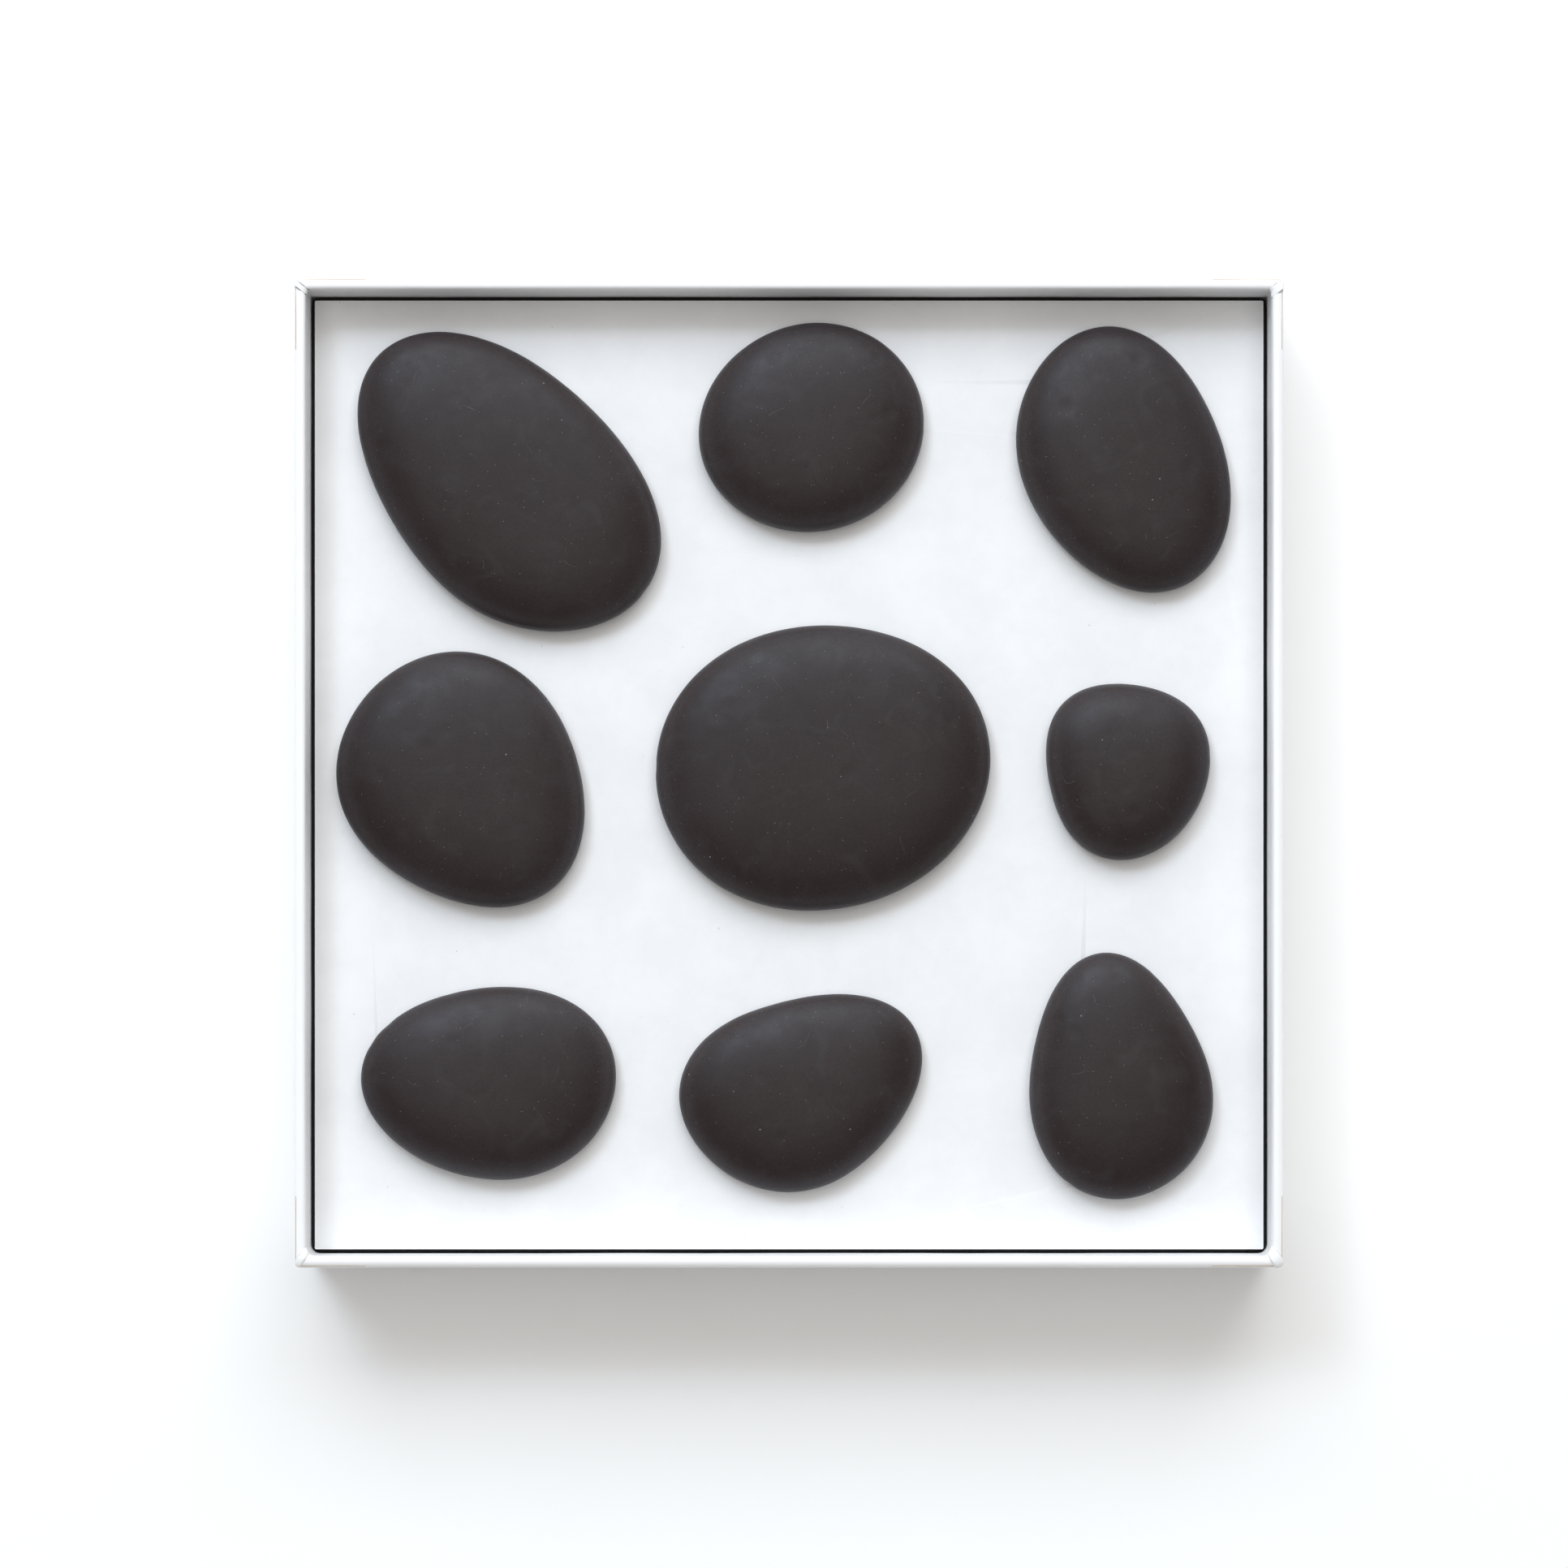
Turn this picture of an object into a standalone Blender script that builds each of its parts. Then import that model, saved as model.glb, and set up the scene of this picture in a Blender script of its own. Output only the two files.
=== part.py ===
"""A boxed set of nine basalt massage stones.

A square, paper-covered tray without its lid holds a foam insert with nine die-cut seats. A white
card faces the insert, and a smooth flat pebble lies in each seat. The insert lifts out of the tray,
and each stone lifts out of its seat.

Units are metres. The origin is at the centre of the underside, +X is to the right, +Y runs from the
front row of stones to the back row, and +Z is up.
"""

import math
from collections import namedtuple

import bmesh
import bpy
import numpy as np
from mathutils import Matrix

MM = 0.001

# Box
BOX_WIDTH = 250 * MM
BOX_HEIGHT = 45 * MM
BOARD = 1.8 * MM            # greyboard of the floor and the walls
PAPER = 0.2 * MM            # wrap and underside sheet
STAY_PAPER = 0.15 * MM      # gummed tape under the wrap
STAY_REACH = 18 * MM        # how far a corner tape runs along each wall
GLUE_GAP = 0.15 * MM        # between glued pieces
UNDER_TURN = 16 * MM        # wrap turned in below the floor board
BASE_PAPER_INSET = 3 * MM   # underside sheet stops short of the box's edge
INNER_TURN = 30 * MM        # wrap turned down inside the walls

# Insert
FOAM_CLEARANCE = 0.4 * MM   # foam to the papered wall
CARD_MARGIN = 0.65 * MM     # foam that shows round the card
HEADROOM = 2.5 * MM         # top of the thickest stone to the level of the rim
CARD = 1.0 * MM
SEAT_FOAM = 4.0 * MM        # thickness of the die-cut foam sheet
REST_GAP = 0.3 * MM         # between pieces that only lie on one another
SEAT_CLEARANCE = 0.5 * MM   # stone to the edge of its seat, all round

# Stones
DOME_POWER = 2.4            # 2 is an ellipse; more is flatter on top and steeper at the side
OUTLINE_SEGMENTS = 32
DOME_RINGS = 10

# place: centre of the stone from the centre of its cell; reach: distance from the centre to the
# edge in eight directions, the first at the heading and the others counter-clockwise from it.
# Both are in hundredths of a cell, and the card is three cells wide.
Pebble = namedtuple("Pebble", "column row place heading thickness reach")

PEBBLES = {
    "stone_back_left": Pebble(
        -1, 1, (11.5, -8), -18, 17.5 * MM, (50.5, 36, 37, 53.5, 49.5, 37.5, 41, 52)),
    "stone_back_middle": Pebble(
        0, 1, (7, 9.5), 0, 16.5 * MM, (35.5, 35, 33, 33, 35.5, 35, 33, 33.5)),
    "stone_back_right": Pebble(
        1, 1, (6, 0), -50, 16.5 * MM, (43, 32.5, 31, 40, 40, 34.5, 33, 40)),
    "stone_middle_left": Pebble(
        -1, 0, (-3, -1), -60, 17 * MM, (45, 40, 36, 39, 40, 40, 38, 37.5)),
    "stone_centre": Pebble(
        0, 0, (10.5, 2), 0, 18 * MM, (53, 50, 45, 48.5, 52.5, 50, 45, 47)),
    "stone_middle_right": Pebble(
        1, 0, (7, 1), -90, 16 * MM, (28, 25, 25.5, 28, 27.5, 30, 25.5, 27)),
    "stone_front_left": Pebble(
        -1, -1, (5, 2.5), -10, 16.5 * MM, (39.5, 38.5, 31, 32, 40, 34, 30, 33.5)),
    "stone_front_middle": Pebble(
        0, -1, (3.5, -0.5), 40, 16 * MM, (41, 30.5, 31, 38, 35, 31.5, 29.5, 35)),
    "stone_front_right": Pebble(
        1, -1, (4.5, 5), 90, 16.5 * MM, (38.5, 32.5, 28.5, 34.5, 39, 34.5, 28.5, 28)),
}

# Layers of the wall, from the outside in, as distances from the box's middle
OUTER = BOX_WIDTH / 2
STAY_OUTER = OUTER - PAPER - GLUE_GAP
WALL_OUTER = STAY_OUTER - STAY_PAPER - GLUE_GAP
WALL_INNER = WALL_OUTER - BOARD
LINED_INNER = WALL_INNER - GLUE_GAP - PAPER

# How deep a stone sinks below the card's face, and how deep that face lies below the rim
SINK = SEAT_FOAM + CARD + 2 * GLUE_GAP - REST_GAP
THICKEST = max(pebble.thickness for pebble in PEBBLES.values())
CARD_DEPTH = HEADROOM + THICKEST - SINK

# Layers of the floor and the insert, from the underside up
TURN_BOTTOM = PAPER + GLUE_GAP
BASE_BOTTOM = TURN_BOTTOM + PAPER + GLUE_GAP
BASE_TOP = BASE_BOTTOM + BOARD
WALL_TOP = BOX_HEIGHT - PAPER - GLUE_GAP
CARD_TOP = BOX_HEIGHT - CARD_DEPTH
CARD_BOTTOM = CARD_TOP - CARD
SEAT_TOP = CARD_BOTTOM - GLUE_GAP
SEAT_BOTTOM = SEAT_TOP - SEAT_FOAM
BLOCK_TOP = SEAT_BOTTOM - GLUE_GAP
BLOCK_BOTTOM = BASE_TOP + REST_GAP
STONE_BOTTOM = BLOCK_TOP + REST_GAP

# Half widths of the insert, and the grid of cells
FOAM_HALF = LINED_INNER - FOAM_CLEARANCE
CARD_HALF = FOAM_HALF - CARD_MARGIN
CELL = 2 * CARD_HALF / 3


def clear_scene():
    """Remove whatever the file starts with."""
    for thing in list(bpy.data.objects):
        bpy.data.objects.remove(thing, do_unlink=True)


def collection(name):
    """A new collection in the scene."""
    group = bpy.data.collections.new(name)
    bpy.context.scene.collection.children.link(group)
    return group


def material(name, colour, roughness):
    """A plain non-metallic finish."""
    finish = bpy.data.materials.new(name)
    finish.use_nodes = True
    shader = finish.node_tree.nodes["Principled BSDF"]
    shader.inputs["Base Color"].default_value = (*colour, 1.0)
    shader.inputs["Roughness"].default_value = roughness
    shader.inputs["Metallic"].default_value = 0.0
    return finish


def add_mesh(name, shape, group, finish=None, place=(0, 0, 0)):
    """Turn a bmesh into a named object at its place."""
    bmesh.ops.recalc_face_normals(shape, faces=shape.faces)
    mesh = bpy.data.meshes.new(name)
    shape.to_mesh(mesh)
    shape.free()
    piece = bpy.data.objects.new(name, mesh)
    piece.location = place
    group.objects.link(piece)
    if finish:
        mesh.materials.append(finish)
    return piece


def slab(name, low, high, group, finish):
    """A rectangular sheet or board between two corners."""
    shape = bmesh.new()
    bmesh.ops.create_cube(shape, size=1)
    size = [b - a for a, b in zip(low, high)]
    bmesh.ops.scale(shape, vec=size, verts=shape.verts)
    middle = [(a + b) / 2 for a, b in zip(low, high)]
    return add_mesh(name, shape, group, finish, middle)


def square_slab(name, half, bottom, top, group, finish):
    """A square sheet centred on the box."""
    return slab(name, (-half, -half, bottom), (half, half, top), group, finish)


def square_ring(name, profile, group, finish):
    """Sweep a closed profile of (distance from the middle, height) points round a square."""
    shape = bmesh.new()
    corners = [shape.verts.new((half * math.sqrt(2), 0, height)) for half, height in profile]
    for start, end in zip(corners, corners[1:] + corners[:1]):
        shape.edges.new((start, end))
    mesh = bpy.data.meshes.new(name)
    shape.to_mesh(mesh)
    shape.free()
    mesh.materials.append(finish)
    ring = bpy.data.objects.new(name, mesh)
    ring.rotation_euler.z = math.radians(45)
    group.objects.link(ring)
    turn = ring.modifiers.new("four_sides", "SCREW")
    turn.angle = math.radians(360)
    turn.steps = 4
    turn.render_steps = 4
    turn.use_merge_vertices = True
    turn.merge_threshold = 0.00001
    turn.use_smooth_shade = False


def wall_wrap(group, finish):
    """White paper round the outside, over the rim, down the inside and in under the floor."""
    skin = OUTER - PAPER
    turn_inner = OUTER - UNDER_TURN
    turn_top = TURN_BOTTOM + PAPER
    lining = LINED_INNER + PAPER
    foot = BOX_HEIGHT - INNER_TURN
    over = BOX_HEIGHT - PAPER
    profile = [
        (OUTER, BOX_HEIGHT),
        (OUTER, TURN_BOTTOM),
        (turn_inner, TURN_BOTTOM),
        (turn_inner, turn_top),
        (skin, turn_top),
        (skin, over),
        (lining, over),
        (lining, foot),
        (LINED_INNER, foot),
        (LINED_INNER, BOX_HEIGHT),
    ]
    square_ring("wall_wrap", profile, group, finish)


def boards(group, finish):
    """Floor board, and four walls that stand round it."""
    inside = WALL_INNER - GLUE_GAP
    square_slab("base_board", inside, BASE_BOTTOM, BASE_TOP, group, finish)
    for name, side in (("front", -1), ("back", 1)):
        near, far = sorted((side * WALL_INNER, side * WALL_OUTER))
        slab("wall_board_" + name, (-WALL_OUTER, near, BASE_BOTTOM), (WALL_OUTER, far, WALL_TOP),
             group, finish)
    for name, side in (("left", -1), ("right", 1)):
        near, far = sorted((side * WALL_INNER, side * WALL_OUTER))
        slab("wall_board_" + name, (near, -inside, BASE_BOTTOM), (far, inside, WALL_TOP),
             group, finish)


def corner_stays(group, finish):
    """Tape folded round the outside of each corner, made for one corner and turned to the rest."""
    inner = STAY_OUTER - STAY_PAPER
    end = STAY_OUTER - STAY_REACH
    outline = [
        (STAY_OUTER, end),
        (STAY_OUTER, STAY_OUTER),
        (end, STAY_OUTER),
        (end, inner),
        (inner, inner),
        (inner, end),
    ]
    for quarter, name in enumerate(("back_right", "back_left", "front_left", "front_right")):
        shape = bmesh.new()
        base = shape.faces.new([shape.verts.new((x, y, BASE_BOTTOM)) for x, y in outline])
        raised = bmesh.ops.extrude_face_region(shape, geom=[base])["geom"]
        tops = [part for part in raised if isinstance(part, bmesh.types.BMVert)]
        bmesh.ops.translate(shape, vec=(0, 0, WALL_TOP - BASE_BOTTOM), verts=tops)
        turn = Matrix.Rotation(math.radians(90 * quarter), 3, "Z")
        bmesh.ops.rotate(shape, matrix=turn, verts=shape.verts)
        add_mesh("corner_stay_" + name, shape, group, finish)


def pebble_centre(pebble):
    """The stone's centre in plan."""
    x = (pebble.column + pebble.place[0] / 100) * CELL
    y = (pebble.row + pebble.place[1] / 100) * CELL
    return x, y


def reach_at(pebble, angle):
    """Distance from the stone's centre to its edge.

    One over the square of an ellipse's radius is a plain wave, so a wave through the same measure
    of the eight reaches gives a smooth pebble.
    """
    waves = np.fft.rfft([reach ** -2 for reach in pebble.reach]) / len(pebble.reach)
    around = angle - math.radians(pebble.heading)
    total = waves[0].real
    for count, wave in enumerate(waves[1:], start=1):
        share = 1 if count == len(pebble.reach) / 2 else 2
        total += share * (wave * np.exp(1j * count * around)).real
    return total ** -0.5 / 100 * CELL


def width_share(pebble, height):
    """How wide the stone is at a height above its lowest point, against its widest section."""
    half = pebble.thickness / 2
    off_middle = max(0.0, half - height) / half
    return (1 - off_middle ** DOME_POWER) ** (1 / DOME_POWER)


def stone(name, pebble, group, finish):
    """A sphere drawn out to the pebble's outline and flattened to its dome."""
    shape = bmesh.new()
    bmesh.ops.create_uvsphere(shape, u_segments=OUTLINE_SEGMENTS, v_segments=DOME_RINGS, radius=1)
    half = pebble.thickness / 2
    for vert in shape.verts:
        x, y, z = vert.co
        radius = math.hypot(x, y) ** (2 / DOME_POWER)
        height = math.copysign(abs(z) ** (2 / DOME_POWER), z)
        angle = math.atan2(y, x)
        reach = reach_at(pebble, angle) * radius
        vert.co = (reach * math.cos(angle), reach * math.sin(angle), height * half)
    for face in shape.faces:
        face.smooth = True
    x, y = pebble_centre(pebble)
    add_mesh(name, shape, group, finish, (x, y, STONE_BOTTOM + half))


def seat_cutters(group):
    """A prism for each seat: the stone's section at the card's face, with clearance all round."""
    shape = bmesh.new()
    bottom = BLOCK_TOP
    top = BOX_HEIGHT
    for pebble in PEBBLES.values():
        x, y = pebble_centre(pebble)
        share = width_share(pebble, SINK)
        made = bmesh.ops.create_circle(shape, cap_ends=True, segments=OUTLINE_SEGMENTS, radius=1)
        for vert in made["verts"]:
            angle = math.atan2(vert.co.y, vert.co.x)
            reach = reach_at(pebble, angle) * share + SEAT_CLEARANCE
            vert.co = (x + reach * math.cos(angle), y + reach * math.sin(angle), bottom)
        raised = bmesh.ops.extrude_face_region(shape, geom=list(made["verts"][0].link_faces))["geom"]
        tops = [part for part in raised if isinstance(part, bmesh.types.BMVert)]
        bmesh.ops.translate(shape, vec=(0, 0, top - bottom), verts=tops)
    cutter = add_mesh("seat_cutters", shape, group)
    cutter.hide_render = True
    cutter.display_type = "WIRE"
    return cutter


def cut_seats(sheet, cutter):
    """Die-cut the nine seats out of a sheet."""
    cut = sheet.modifiers.new("seats", "BOOLEAN")
    cut.operation = "DIFFERENCE"
    cut.solver = "EXACT"
    cut.object = cutter


def build():
    """Make every piece of the set."""
    clear_scene()
    parts = collection("massage_stone_set")
    cutters = collection("cutters")

    greyboard = material("greyboard", (0.42, 0.40, 0.37), 0.9)
    white_paper = material("white_paper", (0.86, 0.86, 0.87), 0.55)
    kraft_tape = material("kraft_tape", (0.50, 0.36, 0.22), 0.7)
    black_foam = material("black_foam", (0.012, 0.012, 0.014), 0.9)
    white_card = material("white_card", (0.84, 0.85, 0.87), 0.6)
    basalt = material("basalt", (0.048, 0.041, 0.039), 0.6)

    paper_half = OUTER - BASE_PAPER_INSET
    square_slab("base_paper", paper_half, 0, PAPER, parts, white_paper)
    boards(parts, greyboard)
    corner_stays(parts, kraft_tape)
    wall_wrap(parts, white_paper)

    cutter = seat_cutters(cutters)
    square_slab("foam_base_layer", FOAM_HALF, BLOCK_BOTTOM, BLOCK_TOP, parts, black_foam)
    seat_layer = square_slab("foam_seat_layer", FOAM_HALF, SEAT_BOTTOM, SEAT_TOP, parts, black_foam)
    card = square_slab("facing_card", CARD_HALF, CARD_BOTTOM, CARD_TOP, parts, white_card)
    cut_seats(seat_layer, cutter)
    cut_seats(card, cutter)

    for name, pebble in PEBBLES.items():
        stone(name, pebble, parts, basalt)


build()
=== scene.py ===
"""Finished surfaces of the boxed set of nine basalt massage stones.

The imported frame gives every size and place. The paper wrap, the boards, the foam, the facing card and the
stones are made round it here, each with its own finish, and each rides on its own body. Metres; +Y is
towards the back row of stones and +Z is up.
"""

import math
from collections import namedtuple

import bmesh
import bpy
from mathutils import Euler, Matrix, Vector, noise


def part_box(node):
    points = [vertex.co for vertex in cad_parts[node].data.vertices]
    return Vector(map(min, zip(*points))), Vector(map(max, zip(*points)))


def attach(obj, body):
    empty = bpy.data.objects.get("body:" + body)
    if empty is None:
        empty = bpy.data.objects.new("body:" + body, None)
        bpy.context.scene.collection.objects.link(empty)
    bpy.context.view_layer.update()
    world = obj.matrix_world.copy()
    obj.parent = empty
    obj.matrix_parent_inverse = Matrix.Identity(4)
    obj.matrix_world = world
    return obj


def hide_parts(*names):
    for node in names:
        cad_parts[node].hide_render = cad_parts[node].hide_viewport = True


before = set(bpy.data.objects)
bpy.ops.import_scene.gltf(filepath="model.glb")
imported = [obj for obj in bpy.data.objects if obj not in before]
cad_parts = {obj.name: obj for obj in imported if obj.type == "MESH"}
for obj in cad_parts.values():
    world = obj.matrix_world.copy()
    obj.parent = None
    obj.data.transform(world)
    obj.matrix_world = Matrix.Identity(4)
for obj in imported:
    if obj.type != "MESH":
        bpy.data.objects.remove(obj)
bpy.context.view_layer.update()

MM = 0.001

# Paper wrap
PAPER = 0.2 * MM
GLUE_GAP = 0.15 * MM
UNDER_TURN = 16 * MM
INNER_TURN = 30 * MM
RIM_OUTER_ROUND = 1.55 * MM
RIM_INNER_ROUND = 1.0 * MM
FOOT_ROUND = 0.6 * MM
# Upright corners, outside and inside: back right, back left, front left, front right
CORNER_ROUND = (1.4 * MM, 1.3 * MM, 1.75 * MM, 1.8 * MM)
LINING_ROUND = (0.35 * MM, 0.25 * MM, 2.3 * MM, 2.5 * MM)
RIPPLE = 0.1 * MM             # how far the glued paper stands off the board in places
STAY_REACH = 18 * MM
STAY_PAPER = 0.15 * MM
STAY_BEND = 6                 # steps round a tape's corner
BOARD_CRUSH = 0.45 * MM       # softened edges of the greyboard
RIM_PINCH = 0.5 * MM          # how much tighter the corners are on top of the rim
FOOT_TIGHTENING = 0.045       # how fast they tighten under the floor, as a share per mm
LEAST_ROUND = 0.2 * MM

# Painted shade on the lining, which deepens from a little below the rim, in mm and as a share
SHADE_START = 1.5
SHADE_END = 5.0
SHADE_FIRST = 0.3
SHADE_PER_MM = 0.04

CORNERS = ("back_right", "back_left", "front_left", "front_right")

# Corner folds in mm: width over the mitre, shift and skew along the rim, lift, reach down outside and
# inside; and how dark the painted shade in its creases is
Fold = namedtuple("Fold", "width shift skew lift outside_drop inside_drop dark")
FOLDS = {
    "back_right": Fold(1.9, -0.75, -0.35, 0.38, 6.0, 4.4, 0.8),
    "back_left": Fold(1.1, 0.5, 0.35, 0.4, 6.0, 6.5, 1.0),
    "front_left": Fold(1.6, -0.35, 0.5, 0.34, 7.0, 2.4, 0.6),
    "front_right": Fold(2.4, 0.3, -0.55, 0.42, 8.0, 2.6, 0.62),
}
FOLD_NARROWING = 0.75         # share of its width that a fold loses down to its ends
FOLD_FLATTENING = 0.5         # share of its lift that it loses on the outside of the wall
CREASE_FADING = 0.55          # share of its crease's painted shade that it loses there
# Across a fold: share of its width from the middle, mm beyond that, share of its lift, and of its painted
# crease shade
FOLD_ACROSS = ((-0.5, -0.34, 0.3, 0.9), (-0.5, -0.1, 0.35, 1.0), (-0.5, 0.0, 0.85, 0.1),
               (-0.25, 0.0, 0.95, 0.0), (0.0, 0.0, 1.0, 0.0), (0.25, 0.0, 0.95, 0.0),
               (0.5, 0.0, 0.85, 0.1), (0.5, 0.1, 0.35, 1.0), (0.5, 0.28, 0.3, 0.9))

# Insert
SEAT_CLEARANCE = 0.5 * MM
FOAM_CORNER = 2.4 * MM
FOAM_EDGE = 0.35 * MM
CARD_CORNER = 0.35 * MM
CARD_EDGE = 0.14 * MM
CUT_WELD = 0.05 * MM          # points closer than this are made one after the seats are cut

# Stones
STONE_DIVISIONS = 58
STONE_SWELL = 0.3 * MM
SWELL_PITCH = 55.0            # swells and dents in a metre
DENT_DEPTH = 0.12 * MM
DENT_PITCH = 120.0

# Table top
TABLE_HALF = 3.0
TABLE_DROP = 0.05 * MM

# Light. Bearing and elevation say where a panel is seen from the box, clockwise from the back; with its half
# width and half height they are in degrees
LIGHT_DISTANCE = 4.0
Panel = namedtuple("Panel", "bearing elevation half_width half_height glow colour")
PANELS = {
    "window": Panel(1, 46, 25, 14, 4.5, (0.9, 0.95, 1.0)),
    "skylight": Panel(-38, 52, 8, 7, 10.5, (0.72, 0.85, 1.0)),
    "ceiling": Panel(0, 84, 25, 25, 1.58, (1.0, 0.965, 0.91)),
}
# The room's glow along an axis: from and to these heights of the view ray, and the strengths there
ROOM_GLOW = {"Z": (0.1, 0.85, 1.1, 0.08), "Y": (-0.6, 0.8, 0.6, 1.15)}
ROOM_COLOUR = (1.0, 0.99, 0.975, 1.0)

# View
CAMERA_PLACE = (0.0055, -0.0492, 1.42)
CAMERA_LENS = 125
CAMERA_SHIFT = (-0.0170, 0.1171)

STONES = ("back_left", "back_middle", "back_right", "middle_left", "centre", "middle_right",
          "front_left", "front_middle", "front_right")
SIDES = ("front", "back", "left", "right")

WRAP_LOW, WRAP_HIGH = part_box("wall_wrap")
OUTER = WRAP_HIGH[0]
RIM = WRAP_HIGH[2]
FOOT = WRAP_LOW[2]
BOARD_FACE = -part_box("wall_board_left")[1][0]
LINED = BOARD_FACE - GLUE_GAP - PAPER


# Building finishes

class Finish:
    """A procedural finish while it is being wired up. Sizes are in metres on the object itself."""

    def __init__(self, name, roughness=0.5, specular=0.5):
        self.material = bpy.data.materials.new(name)
        self.material.use_nodes = True
        self.tree = self.material.node_tree
        self.shader = self.tree.nodes["Principled BSDF"]
        self.shader.inputs["Roughness"].default_value = roughness
        self.shader.inputs["Specular IOR Level"].default_value = specular
        self.place = self.tree.nodes.new("ShaderNodeTexCoord").outputs["Object"]

    def node(self, kind, **settings):
        made = self.tree.nodes.new(kind)
        for key, value in settings.items():
            setattr(made, key, value)
        return made

    def feed(self, target, value):
        """Link an output to a socket, or set the socket to a plain value."""
        if isinstance(value, bpy.types.NodeSocket):
            self.tree.links.new(value, target)
        elif isinstance(value, (tuple, list)) and len(value) == 3 and target.type == "RGBA":
            target.default_value = (*value, 1.0)
        else:
            target.default_value = value

    def stretched(self, factors):
        """The object's place, stretched so that grain runs along one way."""
        mapping = self.node("ShaderNodeMapping")
        self.feed(mapping.inputs["Vector"], self.place)
        mapping.inputs["Scale"].default_value = factors
        return mapping.outputs["Vector"]

    def mottle(self, size, detail=2.0, roughness=0.5, distortion=0.0, where=None):
        """Cloudy noise whose blotches are about this size."""
        cloud = self.node("ShaderNodeTexNoise")
        self.feed(cloud.inputs["Vector"], where or self.place)
        cloud.inputs["Scale"].default_value = 1 / size
        cloud.inputs["Detail"].default_value = detail
        cloud.inputs["Roughness"].default_value = roughness
        cloud.inputs["Distortion"].default_value = distortion
        return cloud.outputs["Fac"]

    def cells(self, size, feature="F1", output="Distance", randomness=1.0):
        """Cells of about this size: distance from each middle, or a random colour for each."""
        cell = self.node("ShaderNodeTexVoronoi", feature=feature)
        self.feed(cell.inputs["Vector"], self.place)
        cell.inputs["Scale"].default_value = 1 / size
        cell.inputs["Randomness"].default_value = randomness
        return cell.outputs[output]

    def maths(self, operation, first, second=None, third=None):
        step = self.node("ShaderNodeMath", operation=operation)
        for socket, value in zip(step.inputs, (first, second, third)):
            if value is not None:
                self.feed(socket, value)
        return step.outputs[0]

    def between(self, value, low, high, out_low=0.0, out_high=1.0):
        """Map a span of a value smoothly on another span."""
        span = self.node("ShaderNodeMapRange", interpolation_type="SMOOTHSTEP")
        self.feed(span.inputs["Value"], value)
        span.inputs["From Min"].default_value = low
        span.inputs["From Max"].default_value = high
        span.inputs["To Min"].default_value = out_low
        span.inputs["To Max"].default_value = out_high
        return span.outputs["Result"]

    def mixed(self, factor, first, second, blend="MIX"):
        mix = self.node("ShaderNodeMix", data_type="RGBA", blend_type=blend)
        self.feed(mix.inputs[0], factor)
        self.feed(mix.inputs[6], first)
        self.feed(mix.inputs[7], second)
        return mix.outputs[2]

    def axis(self, name):
        split = self.node("ShaderNodeSeparateXYZ")
        self.feed(split.inputs[0], self.place)
        return split.outputs[name]

    def relief(self, height, depth, strength=1.0, over=None):
        """Bump of this depth, on top of an earlier one."""
        bump = self.node("ShaderNodeBump")
        self.feed(bump.inputs["Height"], height)
        bump.inputs["Distance"].default_value = depth
        bump.inputs["Strength"].default_value = strength
        if over is not None:
            self.feed(bump.inputs["Normal"], over)
        return bump.outputs["Normal"]

    def done(self, colour, roughness=None, normal=None):
        self.feed(self.shader.inputs["Base Color"], colour)
        if roughness is not None:
            self.feed(self.shader.inputs["Roughness"], roughness)
        if normal is not None:
            self.feed(self.shader.inputs["Normal"], normal)
        return self.material


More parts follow.
